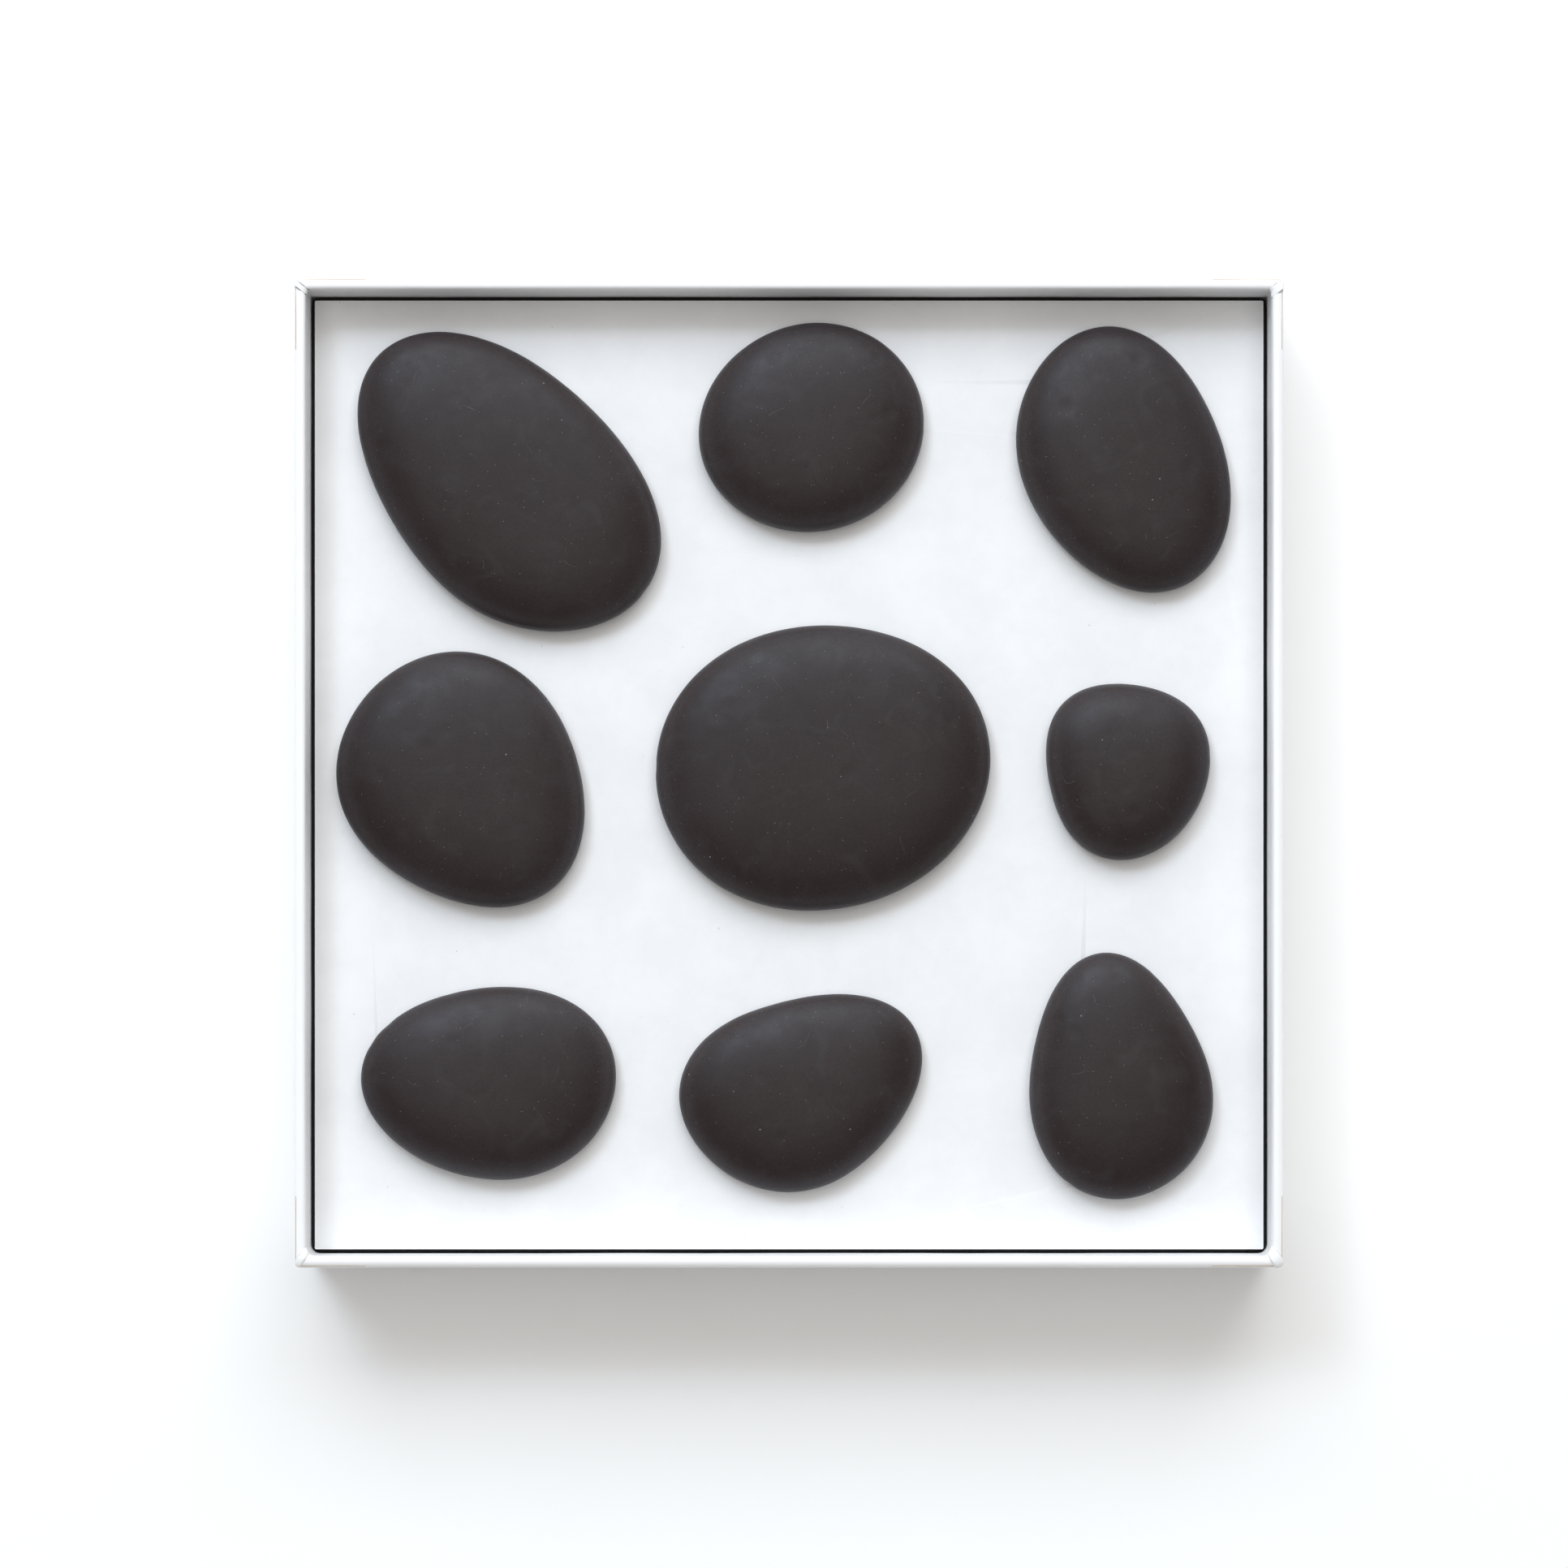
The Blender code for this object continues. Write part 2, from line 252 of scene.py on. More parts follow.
def basalt_finish():
    """Tumbled, oiled basalt: brownish charcoal with fine mineral grain, tiny pits and hair scratches, and
    painted light on the flanks.
    """
    stone = Finish("tumbled_basalt", specular=0.3)
    stone.shader.inputs["Specular Tint"].default_value = (0.88, 0.94, 1.0, 1.0)
    drift = stone.between(stone.mottle(30 * MM, detail=3.0, roughness=0.6), 0.32, 0.7)
    colour = stone.mixed(drift, (0.0195, 0.0132, 0.0118), (0.0235, 0.0176, 0.0168))
    # Painted light: the sloping flanks are lightened and tinted blue and the flat tops darkened, standing in
    # for fill light and a blue reflection on the sides
    flank = stone.node("ShaderNodeAttribute", attribute_name="flank").outputs["Fac"]
    painted_flank_light = stone.mixed(stone.between(flank, 0.01, 0.25), (0.78, 0.69, 0.72), (1.45, 1.62, 1.8))
    colour = stone.mixed(1.0, colour, painted_flank_light, blend="MULTIPLY")
    grain = stone.between(stone.mottle(0.6 * MM, detail=4.0, roughness=0.75), 0.3, 0.72)
    colour = stone.mixed(grain, colour, stone.mixed(1.0, colour, (1.5, 1.46, 1.46), blend="MULTIPLY"))
    smear = stone.between(stone.mottle(9 * MM, detail=5.0, distortion=1.2), 0.5, 0.76, 0.0, 0.2)
    colour = stone.mixed(smear, colour, (0.046, 0.0425, 0.044))
    fleck = stone.between(stone.cells(1.5 * MM), 0.1, 0.03)
    rare = stone.between(stone.cells(1.5 * MM, output="Color"), 0.4, 0.58)
    colour = stone.mixed(stone.maths("MULTIPLY", fleck, rare), colour, (0.15, 0.145, 0.14))
    spot = stone.between(stone.cells(5 * MM), 0.05, 0.02)
    lone = stone.between(stone.cells(5 * MM, output="Color"), 0.66, 0.72)
    colour = stone.mixed(stone.maths("MULTIPLY", spot, lone), colour, (0.2, 0.195, 0.19))
    contour = stone.maths("ABSOLUTE", stone.maths("SUBTRACT", stone.mottle(19 * MM, detail=1.0), 0.5))
    hair = stone.between(contour, 0.0016, 0.0005)
    short = stone.between(stone.mottle(7 * MM, detail=1.0), 0.64, 0.7)
    scratch = stone.maths("MULTIPLY", hair, short)
    colour = stone.mixed(stone.maths("MULTIPLY", scratch, 0.4), colour, (0.13, 0.125, 0.125))
    gloss = stone.between(stone.mottle(6 * MM, detail=5.0, roughness=0.7), 0.3, 0.7, 0.4, 0.5)
    pits = stone.between(stone.cells(1.1 * MM), 0.0, 0.24)
    scattered = stone.between(stone.mottle(4 * MM, detail=2.0), 0.48, 0.62)
    pits = stone.maths("SUBTRACT", 1.0, pits)
    pitted = stone.maths("SUBTRACT", 1.0, stone.maths("MULTIPLY", pits, scattered))
    normal = stone.relief(pitted, 0.02 * MM, 0.6)
    normal = stone.relief(stone.mottle(0.45 * MM, detail=5.0, roughness=0.7), 0.012 * MM, 0.6, over=normal)
    return stone.done(colour, roughness=gloss, normal=normal)


def wrap_finish():
    """Smooth white wrapping paper, glued down: faint fibre, slow ripple, light scuffs, and painted shade in
    the fold creases and low on the lining.
    """
    paper = Finish("white_wrapping_paper", specular=0.42)
    cloud = paper.mottle(22 * MM, detail=4.0, roughness=0.6)
    colour = paper.mixed(cloud, (0.845, 0.85, 0.865), (0.885, 0.885, 0.89))
    fibre = paper.mottle(0.5 * MM, detail=4.0, roughness=0.75)
    colour = paper.mixed(paper.between(fibre, 0.58, 0.8, 0.0, 0.3), colour, (0.79, 0.79, 0.8))
    scuff = paper.between(paper.mottle(3.5 * MM, detail=5.0, distortion=0.9), 0.66, 0.78, 0.0, 0.35)
    colour = paper.mixed(scuff, colour, (0.76, 0.755, 0.75))
    sheen = paper.between(paper.mottle(9 * MM, detail=3.0), 0.3, 0.7, 0.42, 0.56)
    # Painted shade: darker in the creases of the corner folds and low down on the lining inside the box
    painted_shade = paper.node("ShaderNodeAttribute", attribute_name="painted_shade").outputs["Fac"]
    colour = paper.mixed(paper.between(painted_shade, 0.3, 1.0, 0.0, 0.85), colour, (0.1, 0.09, 0.1))
    normal = paper.relief(paper.mottle(14 * MM, detail=2.0), 0.25 * MM, 0.5)
    normal = paper.relief(fibre, 0.015 * MM, 0.6, over=normal)
    return paper.done(colour, roughness=sheen, normal=normal)


def board_finish():
    """Grey recycled board: mixed fibre with dark and pale flecks."""
    board = Finish("recycled_greyboard", specular=0.25)
    cloud = board.mottle(6 * MM, detail=5.0, roughness=0.7)
    colour = board.mixed(cloud, (0.36, 0.34, 0.315), (0.47, 0.45, 0.42))
    dark = board.between(board.mottle(1.1 * MM, detail=3.0, distortion=1.5), 0.63, 0.7, 0.0, 0.7)
    colour = board.mixed(dark, colour, (0.2, 0.19, 0.18))
    pale = board.between(board.mottle(0.8 * MM, detail=3.0, distortion=2.0), 0.66, 0.74, 0.0, 0.6)
    colour = board.mixed(pale, colour, (0.66, 0.64, 0.6))
    fuzz = board.mottle(0.35 * MM, detail=4.0, roughness=0.8)
    normal = board.relief(fuzz, 0.04 * MM, 0.7)
    return board.done(colour, roughness=board.between(fuzz, 0.3, 0.7, 0.82, 0.95), normal=normal)


def tape_finish():
    """Brown gummed tape with long fibres."""
    tape = Finish("gummed_kraft_tape", specular=0.35)
    streak = tape.mottle(2.2 * MM, detail=4.0, where=tape.stretched((0.25, 0.25, 1.6)))
    colour = tape.mixed(streak, (0.4, 0.27, 0.155), (0.56, 0.41, 0.26))
    fibre = tape.mottle(0.5 * MM, detail=4.0, roughness=0.7)
    colour = tape.mixed(tape.between(fibre, 0.6, 0.75, 0.0, 0.5), colour, (0.3, 0.19, 0.1))
    normal = tape.relief(fibre, 0.02 * MM, 0.6)
    return tape.done(colour, roughness=tape.between(streak, 0.3, 0.7, 0.5, 0.68), normal=normal)


def foam_finish():
    """Black closed-cell foam: cut cells, a little dust and a soft sheen."""
    foam = Finish("black_cell_foam", specular=0.3)
    cell = foam.cells(0.55 * MM)
    large = foam.cells(1.3 * MM)
    colour = foam.mixed(foam.between(cell, 0.1, 0.6), (0.006, 0.006, 0.0065), (0.017, 0.017, 0.018))
    dust = foam.between(foam.mottle(2.6 * MM, detail=5.0, roughness=0.8), 0.66, 0.8, 0.0, 0.35)
    colour = foam.mixed(dust, colour, (0.05, 0.049, 0.048))
    normal = foam.relief(foam.between(large, 0.05, 0.5), 0.09 * MM, 0.5)
    normal = foam.relief(foam.between(cell, 0.05, 0.55), 0.07 * MM, 0.8, over=normal)
    return foam.done(colour, roughness=foam.between(cell, 0.1, 0.6, 0.72, 0.9), normal=normal)


def card_finish(half):
    """White facing card: faint grey smudges, fine tooth, and a painted highlight along its cut edge all
    round.
    """
    card = Finish("white_facing_card", specular=0.4)
    cloud = card.between(card.mottle(17 * MM, detail=5.0, roughness=0.62), 0.3, 0.7)
    colour = card.mixed(cloud, (0.8, 0.805, 0.82), (0.85, 0.855, 0.865))
    blotch = card.mottle(2.4 * MM, detail=5.0, roughness=0.7, distortion=0.8)
    smudge = card.between(blotch, 0.64, 0.8, 0.0, 0.5)
    colour = card.mixed(smudge, colour, (0.69, 0.69, 0.7))
    speck = card.between(card.cells(5.5 * MM), 0.055, 0.02)
    few = card.between(card.cells(5.5 * MM, output="Color"), 0.66, 0.74, 0.0, 0.55)
    colour = card.mixed(card.maths("MULTIPLY", speck, few), colour, (0.42, 0.41, 0.4))
    across = card.maths("ABSOLUTE", card.axis("X"))
    along = card.maths("ABSOLUTE", card.axis("Y"))
    reach = card.maths("MAXIMUM", across, along)
    # Painted highlight: a lighter band along the card's cut edge, standing in for the light that the edge
    # catches
    rim = card.between(reach, half - 0.34 * MM, half - 0.2 * MM)
    colour = card.mixed(rim, colour, (0.95, 0.955, 0.965))
    tooth = card.mottle(0.4 * MM, detail=4.0, roughness=0.7)
    normal = card.relief(card.mottle(30 * MM, detail=1.0), 0.3 * MM, 0.25)
    normal = card.relief(tooth, 0.012 * MM, 0.6, over=normal)
    return card.done(colour, roughness=card.between(cloud, 0.0, 1.0, 0.5, 0.6), normal=normal)


def floor_finish():
    """Pale matt table top."""
    top = Finish("pale_table_top", specular=0.1)
    cloud = top.mottle(90 * MM, detail=3.0)
    colour = top.mixed(cloud, (0.925, 0.925, 0.925), (0.945, 0.945, 0.945))
    normal = top.relief(top.mottle(1.2 * MM, detail=3.0), 0.02 * MM, 0.3)
    return top.done(colour, roughness=top.between(cloud, 0.3, 0.7, 0.75, 0.85), normal=normal)


# Building pieces

def new_piece(name, mesh, finish):
    """A piece of the object, at the origin, with one finish."""
    piece = bpy.data.objects.new(name, mesh)
    bpy.context.scene.collection.objects.link(piece)
    mesh.materials.clear()
    mesh.materials.append(finish)
    return piece


def settled(piece):
    """Turn a piece's modifiers into plain mesh."""
    shaped = piece.evaluated_get(bpy.context.evaluated_depsgraph_get())
    mesh = bpy.data.meshes.new_from_object(shaped)
    mesh.name = piece.name
    piece.modifiers.clear()
    piece.data = mesh
    return piece


def belongs(piece, body, slot, *nodes):
    """Put a piece on the body it rides on and hide the CAD nodes it stands for; the slot, which finish it
    takes, is not used.
    """
    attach(piece, body)
    if nodes:
        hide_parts(*nodes)
    return piece


def merged_copy(node):
    """A bmesh of a CAD node with its loose triangles merged."""
    shape = bmesh.new()
    shape.from_mesh(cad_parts[node].data)
    bmesh.ops.remove_doubles(shape, verts=shape.verts, dist=0.002 * MM)
    return shape


def mesh_of(name, shape):
    mesh = bpy.data.meshes.new(name)
    shape.to_mesh(mesh)
    shape.free()
    return mesh


def blank_of(node):
    """A quad mesh of a CAD stone, ready to be subdivided."""
    shape = merged_copy(node)
    bmesh.ops.join_triangles(
        shape, faces=shape.faces, angle_face_threshold=0.6, angle_shape_threshold=2.0)
    return mesh_of(node + "_blank", shape)


class Tree:
    """A geometry node tree while it is being wired up, with named inputs."""

    def __init__(self, name, inputs):
        self.tree = bpy.data.node_groups.new(name, "GeometryNodeTree")
        self.tree.interface.new_socket("Geometry", in_out="INPUT", socket_type="NodeSocketGeometry")
        self.tree.interface.new_socket("Geometry", in_out="OUTPUT", socket_type="NodeSocketGeometry")
        for label, kind in inputs:
            self.tree.interface.new_socket(label, in_out="INPUT", socket_type="NodeSocket" + kind)
        self.given = self.tree.nodes.new("NodeGroupInput").outputs

    def node(self, kind, inputs=(), **settings):
        """A node with its settings, and its sockets linked or set by name or number."""
        made = self.tree.nodes.new(kind)
        for key, value in settings.items():
            setattr(made, key, value)
        for socket, value in dict(inputs).items():
            if isinstance(value, bpy.types.NodeSocket):
                self.tree.links.new(value, made.inputs[socket])
            else:
                made.inputs[socket].default_value = value
        return made.outputs

    def ends_in(self, geometry, finish):
        whole = self.node("GeometryNodeRealizeInstances", {0: geometry})[0]
        painted = self.node("GeometryNodeSetMaterial", {"Geometry": whole, "Material": finish})[0]
        self.tree.links.new(painted, self.tree.nodes.new("NodeGroupOutput").inputs[0])
        return self.tree


def run_tree(piece, tree, values):
    """Shape a piece with a tree, its inputs given by name, and settle it."""
    modifier = piece.modifiers.new(tree.name, "NODES")
    modifier.node_group = tree
    for item in tree.interface.items_tree:
        if item.in_out == "INPUT" and item.name in values:
            modifier[item.identifier] = values[item.name]
    return settled(piece)


def tumbled_stone_tree():
    """An even skin of quads cast on the smoothed blank, then swollen and dented a little."""
    t = Tree("tumbled_stone", (
        ("Centre", "Vector"), ("Half size", "Vector"), ("Divisions", "Int"), ("Swell", "Float"),
        ("Swell pitch", "Float"), ("Dent depth", "Float"), ("Dent pitch", "Float"),
        ("Seed", "Float"), ("Finish", "Material")))
    g = t.given
    blank = t.node("GeometryNodeSubdivisionSurface", {"Mesh": g["Geometry"], "Level": 3})[0]
    cube = t.node("GeometryNodeMeshCube", {
        "Size": (2.0, 2.0, 2.0), "Vertices X": g["Divisions"],
        "Vertices Y": g["Divisions"], "Vertices Z": g["Divisions"]})[0]
    place = t.node("GeometryNodeInputPosition")[0]
    even = t.node("ShaderNodeVectorMath", {0: place, 1: (0.7854, 0.7854, 0.7854)}, operation="MULTIPLY")[0]
    even = t.node("ShaderNodeVectorMath", {0: even}, operation="TANGENT")[0]
    round_way = t.node("ShaderNodeVectorMath", {0: even}, operation="NORMALIZE")[0]
    way = t.node("ShaderNodeVectorMath", {0: round_way, 1: g["Half size"]}, operation="MULTIPLY")[0]
    hit = t.node("GeometryNodeRaycast", {
        "Target Geometry": blank, "Source Position": g["Centre"],
        "Ray Direction": way, "Ray Length": 1.0})["Hit Position"]
    skin = t.node("GeometryNodeSetPosition", {"Geometry": cube, "Position": hit})[0]
    skin = t.node("GeometryNodeMergeByDistance", {"Geometry": skin, "Distance": 0.005 * MM})[0]
    smooth = t.node("GeometryNodeBlurAttribute", {
        "Value": place, "Iterations": 3}, data_type="FLOAT_VECTOR")[0]
    skin = t.node("GeometryNodeSetPosition", {"Geometry": skin, "Position": smooth})[0]
    swell = t.node("ShaderNodeTexNoise", {
        "Vector": place, "W": g["Seed"], "Scale": g["Swell pitch"], "Detail": 2.0},
        noise_dimensions="4D")[0]
    swell = t.node("ShaderNodeMath", {0: swell, 1: 0.5}, operation="SUBTRACT")[0]
    swell = t.node("ShaderNodeMath", {0: swell, 1: g["Swell"]}, operation="MULTIPLY")[0]
    dent = t.node("ShaderNodeTexVoronoi", {
        "Vector": place, "W": g["Seed"], "Scale": g["Dent pitch"]}, voronoi_dimensions="4D")["Distance"]
    dent = t.node("ShaderNodeMapRange", {
        "Value": dent, "From Min": 0.1, "From Max": 0.34, "To Min": 1.0, "To Max": 0.0},
        interpolation_type="SMOOTHSTEP")[0]
    dent = t.node("ShaderNodeMath", {0: dent, 1: g["Dent depth"]}, operation="MULTIPLY")[0]
    height = t.node("ShaderNodeMath", {0: swell, 1: dent}, operation="SUBTRACT")[0]
    normal = t.node("GeometryNodeInputNormal")[0]
    offset = t.node("ShaderNodeVectorMath", {0: normal, "Scale": height}, operation="SCALE")[0]
    skin = t.node("GeometryNodeSetPosition", {"Geometry": skin, "Offset": offset})[0]
    # How steep the skin is, kept as flank for the painted light on the stones' sides
    upright = t.node("ShaderNodeSeparateXYZ", {0: normal})["Z"]
    flank = t.node("ShaderNodeMath", {0: 1.0, 1: upright}, operation="SUBTRACT")[0]
    skin = t.node("GeometryNodeStoreNamedAttribute", {"Geometry": skin, "Name": "flank", "Value": flank})[0]
    skin = t.node("GeometryNodeSetShadeSmooth", {"Geometry": skin, "Shade Smooth": True})[0]
    return t.ends_in(skin, g["Finish"])


def fill_box(mesh, low, high):
    """Stretch a mesh a touch, so that it is exactly as long, wide and thick as its CAD solid."""
    for axis in range(3):
        found = [vert.co[axis] for vert in mesh.vertices]
        middle = (max(found) + min(found)) / 2
        growth = (high[axis] - low[axis]) / (max(found) - min(found))
        for vert in mesh.vertices:
            vert.co[axis] = (vert.co[axis] - middle) * growth + (high[axis] + low[axis]) / 2


def make_stone(name, number, tree, finish):
    """One massage stone, true to its CAD shape with a tumbled skin."""
    node = "stone_" + name
    low, high = (Vector(corner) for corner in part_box(node))
    piece = new_piece("tumbled_" + node, blank_of(node), finish)
    run_tree(piece, tree, {
        "Centre": (low + high) / 2, "Half size": (high - low) / 2, "Divisions": STONE_DIVISIONS,
        "Swell": STONE_SWELL, "Swell pitch": SWELL_PITCH,
        "Dent depth": DENT_DEPTH, "Dent pitch": DENT_PITCH,
        "Seed": float(number), "Finish": finish})
    fill_box(piece.data, low, high)
    return belongs(piece, name, "basalt", node)


def round_corner(half, radius, quarter, bend):
    """Points round one upright corner; quarter 0 is at +X +Y, and they go on counter-clockwise."""
    start = quarter * math.pi / 2
    middle = Vector((math.cos(start) - math.sin(start), math.sin(start) + math.cos(start))) * (half - radius)
    angles = [start + step / bend * math.pi / 2 for step in range(bend + 1)]
    return [middle + radius * Vector((math.cos(angle), math.sin(angle))) for angle in angles]


def rounded_square(half, radii, straight=36, bend=6):
    """Points round a square with four rounded corners, the same number for every size."""
    corners = [round_corner(half, radius, quarter, bend) for quarter, radius in enumerate(radii)]
    points = []
    for corner, following in zip(corners, corners[1:] + corners[:1]):
        points += corner
        points += [corner[-1].lerp(following[0], step / straight) for step in range(1, straight)]
    return points


def arc(centre, radius, first, last, steps):
    """Points on part of a circle in the wall's section, angles in degrees."""
    return [
        (centre[0] + radius * math.cos(math.radians(first + (last - first) * step / steps)),
         centre[1] + radius * math.sin(math.radians(first + (last - first) * step / steps)))
        for step in range(steps + 1)]


def line(start, end, steps):
    """Points from start up to, but without, end."""
    return [
        (start[0] + (end[0] - start[0]) * step / steps, start[1] + (end[1] - start[1]) * step / steps)
        for step in range(steps)]


def wrap_section():
    """The wrap's outer face from under the floor, up the wall, over the rim and down inside:
    (half width, level, radii of the four upright corners)."""
    foot = line((OUTER - UNDER_TURN, FOOT), (OUTER - FOOT_ROUND, FOOT), 5)
    foot += arc((OUTER - FOOT_ROUND, FOOT + FOOT_ROUND), FOOT_ROUND, -90, 0, 4)[:-1]
    wall = line((OUTER, FOOT + FOOT_ROUND), (OUTER, RIM - RIM_OUTER_ROUND), 12)
    rim = arc((OUTER - RIM_OUTER_ROUND, RIM - RIM_OUTER_ROUND), RIM_OUTER_ROUND, 0, 90, 7)
    rim += arc((LINED + RIM_INNER_ROUND, RIM - RIM_INNER_ROUND), RIM_INNER_ROUND, 90, 180, 7)
    lining = line((LINED, RIM - RIM_INNER_ROUND), (LINED, RIM - INNER_TURN), 10)[1:]
    lining.append((LINED, RIM - INNER_TURN))
    section = []
    for half, level in foot + wall + rim + lining:
        inside = min(1.0, (OUTER - half) / (OUTER - LINED))
        pinch = RIM_PINCH * math.sin(math.pi * inside)
        if level < FOOT + FOOT_ROUND:
            radii = [outside * (1 - FOOT_TIGHTENING * (OUTER - half) / MM) for outside in CORNER_ROUND]
        else:
            radii = [outside + (lining_round - outside) * inside - pinch
                     for outside, lining_round in zip(CORNER_ROUND, LINING_ROUND)]
        section.append((half, level, [max(radius, LEAST_ROUND) for radius in radii]))
    return section


def swept_sheet(name, section, ripple):
    """One sheet swept round the box through its section, facing away from the board."""
    shape = bmesh.new()
    rings = []
    painted_shade = shape.verts.layers.float.new("painted_shade")
    for half, level, radii in section:
        rings.append([shape.verts.new((flat.x, flat.y, level)) for flat in rounded_square(half, radii)])
        # Painted shade on the lining, deepening lower down inside the box
        sunk = (RIM - level) / MM if half < (OUTER + LINED) / 2 else 0.0
        shade = SHADE_FIRST + SHADE_PER_MM * min(sunk, SHADE_END) if sunk > SHADE_START else 0.0
        for vert in rings[-1]:
            vert[painted_shade] = shade
    for lower, upper in zip(rings, rings[1:]):
        for step in range(len(lower)):
            after = (step + 1) % len(lower)
            shape.faces.new((lower[step], lower[after], upper[after], upper[step]))
    shape.normal_update()
    for vert in shape.verts:
        wide = noise.noise(vert.co * 38) + 0.5 * noise.noise(vert.co * 95 + Vector((3, 1, 7)))
        vert.co += vert.normal * ripple * max(0.0, 0.35 + wide)
    return mesh_of(name, shape)


def make_wrap(finish):
    """The paper wrap, one sheet round all four walls."""
    piece = new_piece("paper_wrap", swept_sheet("paper_wrap", wrap_section(), RIPPLE), finish)
    solid = piece.modifiers.new("paper", "SOLIDIFY")
    solid.thickness = PAPER
    solid.offset = -1.0
    settled(piece)
    piece.data.shade_smooth()
    return belongs(piece, "box", "white_paper", "wall_wrap")


def make_boards(finish):
    """Floor and wall boards with the crushed edges of cut greyboard."""
    for node in ["base_board"] + ["wall_board_" + side for side in SIDES]:
        shape = merged_copy(node)
        bmesh.ops.dissolve_limit(shape, angle_limit=0.01, verts=shape.verts, edges=shape.edges)
        piece = new_piece("grey_" + node, mesh_of(node, shape), finish)
        crush = piece.modifiers.new("crushed_edge", "BEVEL")
        crush.width = BOARD_CRUSH
        crush.segments = 3
        crush.limit_method = "ANGLE"
        settled(piece)
        piece.data.shade_smooth()
        piece.data.set_sharp_from_angle(angle=math.radians(30))
        belongs(piece, "box", "greyboard", node)


def make_corner_tapes(finish):
    """Gummed tape that holds each pair of walls, bent round the upright corner."""
    for quarter, corner in enumerate(CORNERS):
        node = "corner_stay_" + corner
        low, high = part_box(node)
        half = max(abs(low[0]), abs(high[0]))
        path = round_corner(half, CORNER_ROUND[quarter] - PAPER - GLUE_GAP, quarter, STAY_BEND)
        along = (path[0] - path[1]).normalized(), (path[-1] - path[-2]).normalized()
        reach = STAY_REACH - CORNER_ROUND[quarter]
        out = [Vector((round(way.x), round(way.y))) for way in along]
        path = [path[0] + out[0] * reach] + path + [path[-1] + out[1] * reach]
        shape = bmesh.new()
        levels = (low[2], high[2])
        columns = [[shape.verts.new((spot.x, spot.y, level)) for level in levels] for spot in path]
        for one, two in zip(columns, columns[1:]):
            shape.faces.new((one[0], two[0], two[1], one[1]))
        piece = new_piece("bent_" + node, mesh_of(node, shape), finish)
        solid = piece.modifiers.new("tape", "SOLIDIFY")
        solid.thickness = STAY_PAPER
        solid.offset = -1.0
        settled(piece)
        piece.data.shade_smooth()
        piece.data.set_sharp_from_angle(angle=math.radians(40))
        belongs(piece, "box", "kraft_tape", node)


def fold_rows(quarter, fold):
    """Stations of a corner fold from down outside, over the rim, to down inside: the middle of the mitre
    there, the way out from the paper, and how much of its width the fold has left."""
    rows = []
    for half, level, radii in wrap_section():
        depth = (RIM - level) / MM
        outside = half > (OUTER + LINED) / 2
        if level < RIM / 2 or depth > (fold.outside_drop if outside else fold.inside_drop):
            continue
        middle = half - radii[quarter] * (1 - math.sqrt(0.5))
        if outside:
            lean = min(1.0, max(0.0, (half - (OUTER - RIM_OUTER_ROUND)) / RIM_OUTER_ROUND))
        else:
            lean = -min(1.0, max(0.0, (LINED + RIM_INNER_ROUND - half) / RIM_INNER_ROUND))
        left = 1 - FOLD_NARROWING * depth / (fold.outside_drop if outside else fold.inside_drop)
        rows.append((middle, level, lean, left, radii[quarter]))
    return rows


def fall_back(across, radius):
    """How far an upright corner has fallen back, this far to either side of its mitre."""
    bend = radius * math.sqrt(0.5)
    if abs(across) < bend:
        return radius - math.sqrt(radius * radius - across * across)
    return radius - bend + abs(across) - bend


def make_corner_folds(finish):
    """The folded tuck of paper that lies over the mitre at each corner of the rim."""
    for quarter, corner in enumerate(CORNERS):
        fold = FOLDS[corner]
        sign_x, sign_y = (1, -1, -1, 1)[quarter], (1, 1, -1, -1)[quarter]
        shape = bmesh.new()
        painted_shade = shape.verts.layers.float.new("painted_shade")
        rows = []
        stations = fold_rows(quarter, fold)
        for number, (middle, level, lean, left, radius) in enumerate(stations):
            end = number in (0, len(stations) - 1)
            row = []
            for share, beyond, lift, dark in FOLD_ACROSS:
                across = (share * fold.width * left + beyond + fold.shift + fold.skew * lean) * MM
                # Painted shade along the fold's creases, fading on the outside of the wall
                dark *= fold.dark * (1 - CREASE_FADING * max(lean, 0.0))
                raised = (0.0 if end else lift * fold.lift * (1 - FOLD_FLATTENING * max(lean, 0.0))) * MM
                spread = middle + raised * lean - fall_back(across, radius) * abs(lean) * math.sqrt(0.5)
                spot = shape.verts.new((
                    sign_x * spread - sign_y * across / math.sqrt(2),
                    sign_y * spread + sign_x * across / math.sqrt(2),
                    level + raised * math.sqrt(1 - lean * lean)))
                spot[painted_shade] = dark
                row.append(spot)
            rows.append(row)
        for one, two in zip(rows, rows[1:]):
            for step in range(len(one) - 1):
                shape.faces.new((one[step], one[step + 1], two[step + 1], two[step]))
        piece = new_piece("corner_fold_" + corner, mesh_of("corner_fold_" + corner, shape), finish)
        solid = piece.modifiers.new("paper", "SOLIDIFY")
        solid.thickness = PAPER
        solid.offset = -1.0
        settled(piece)
        piece.data.shade_smooth()
        piece.data.set_sharp_from_angle(angle=math.radians(55))
        belongs(piece, "box", "white_paper")


def slab(name, half, low, high, corner, finish):
    """A square slab with rounded upright corners."""
    shape = bmesh.new()
    outline = rounded_square(half, (corner,) * 4, straight=2)
    bottom = [shape.verts.new((spot.x, spot.y, low)) for spot in outline]
    top = [shape.verts.new((spot.x, spot.y, high)) for spot in outline]
    shape.faces.new(bottom[::-1])
    shape.faces.new(top)
    for step in range(len(outline)):
        after = (step + 1) % len(outline)
        shape.faces.new((bottom[step], bottom[after], top[after], top[step]))
    return new_piece(name, mesh_of(name, shape), finish)


